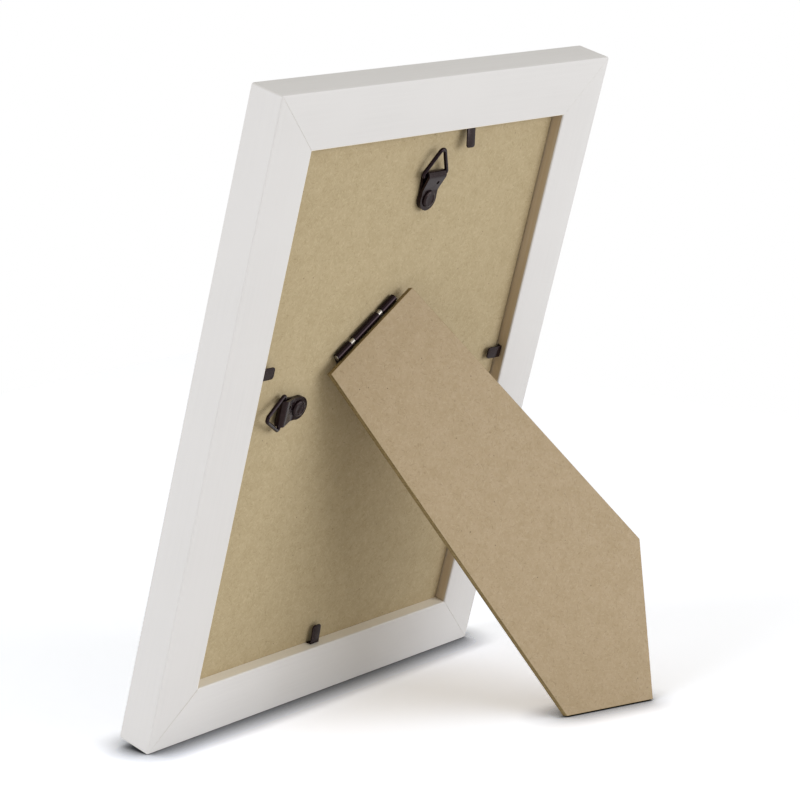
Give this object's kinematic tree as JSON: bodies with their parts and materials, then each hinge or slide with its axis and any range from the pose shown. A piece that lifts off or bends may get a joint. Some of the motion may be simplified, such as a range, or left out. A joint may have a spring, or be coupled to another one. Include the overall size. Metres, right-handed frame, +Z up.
{
  "type": "picture frame",
  "caption": "Small white mitred picture frame seen from the back, with bending tabs, wire-ring hangers and a slanted fibreboard strut that folds out to stand it upright or on its side.",
  "frame": {"origin": "middle of the box round the standing frame, on the floor", "axes": "+Z up, front of the picture towards -Y, strut towards +Y, +X to the left as seen from behind"},
  "size_m": [0.1928, 0.1218, 0.2495],
  "materials": {
    "white_paint": "satin white paint on wood",
    "fibreboard": "raw hard fibreboard",
    "paper": "plain matt",
    "clear_glass": "clear, polished",
    "bright_steel": "bare, lightly worn",
    "corner_nail_steel": "bare",
    "dark_steel": "black finish on sheet and wire, half gloss"
  },
  "bodies": {
    "frame": {"bottom_rail": "white_paint", "bottom_tab_root": "dark_steel", "bottom_corner_nail": "corner_nail_steel", "right_rail": "white_paint", "right_tab_root": "dark_steel", "right_corner_nail": "corner_nail_steel", "top_rail": "white_paint", "top_tab_root": "dark_steel", "top_corner_nail": "corner_nail_steel", "left_rail": "white_paint", "left_tab_root": "dark_steel", "left_corner_nail": "corner_nail_steel", "glass_pane": "clear_glass", "insert_sheet": "paper", "backing_board": "fibreboard", "top_hanger_rivet": "dark_steel", "side_hanger_rivet": "dark_steel", "hinge_board_leaf": "dark_steel", "hinge_pin": "bright_steel", "hinge_rivet_lower": "dark_steel", "hinge_rivet_upper": "dark_steel"},
    "strut": {"strut": "fibreboard", "hinge_strut_leaf": "dark_steel"},
    "top_hanger": {"top_hanger_plate": "dark_steel"},
    "top_ring": {"top_hanger_ring": "dark_steel"},
    "side_hanger": {"side_hanger_plate": "dark_steel"},
    "side_ring": {"side_hanger_ring": "dark_steel"},
    "top_tab": {"top_tab_blade": "dark_steel"},
    "bottom_tab": {"bottom_tab_blade": "dark_steel"},
    "left_tab": {"left_tab_blade": "dark_steel"},
    "right_tab": {"right_tab_blade": "dark_steel"}
  },
  "joints": [
    {"name": "strut_fold", "type": "hinge", "parent": "frame", "child": "strut", "pos_m": [0.0174, -0.00878, 0.15258], "axis": [-0.7976, 0.1576, 0.5822], "range_deg": [0, 31.2]},
    {"name": "top_hanger_swivel", "type": "hinge", "parent": "frame", "child": "top_hanger", "pos_m": [-0.003, 0.00213, 0.19977], "axis": [0, 0.9652, -0.2613], "range_deg": [-30, 30]},
    {"name": "top_ring_swing", "type": "hinge", "parent": "top_hanger", "child": "top_ring", "pos_m": [-0.003, 0.00676, 0.20826], "axis": [-1, 0, 0], "range_deg": [-15, 140]},
    {"name": "side_hanger_swivel", "type": "hinge", "parent": "frame", "child": "side_hanger", "pos_m": [0.0474, -0.01765, 0.1267], "axis": [0, 0.9652, -0.2613], "range_deg": [-30, 30]},
    {"name": "side_ring_swing", "type": "hinge", "parent": "side_hanger", "child": "side_ring", "pos_m": [0.0568, -0.01548, 0.12611], "axis": [0, 0.2613, 0.9652], "range_deg": [-19, 137]},
    {"name": "top_tab_bend", "type": "hinge", "parent": "frame", "child": "top_tab", "pos_m": [-0.0192, 0.01134, 0.22478], "axis": [1, 0, 0], "range_deg": [-25, 80]},
    {"name": "bottom_tab_bend", "type": "hinge", "parent": "frame", "child": "bottom_tab", "pos_m": [0.0056, -0.04352, 0.02218], "axis": [-1, 0, 0], "range_deg": [-8, 95]},
    {"name": "left_tab_bend", "type": "hinge", "parent": "frame", "child": "left_tab", "pos_m": [0.07395, -0.01084, 0.14288], "axis": [0, -0.2613, -0.9652], "range_deg": [-12, 92]},
    {"name": "right_tab_bend", "type": "hinge", "parent": "frame", "child": "right_tab", "pos_m": [-0.07395, -0.01452, 0.12927], "axis": [0, 0.2613, 0.9652], "range_deg": [-8, 95]}
  ]
}
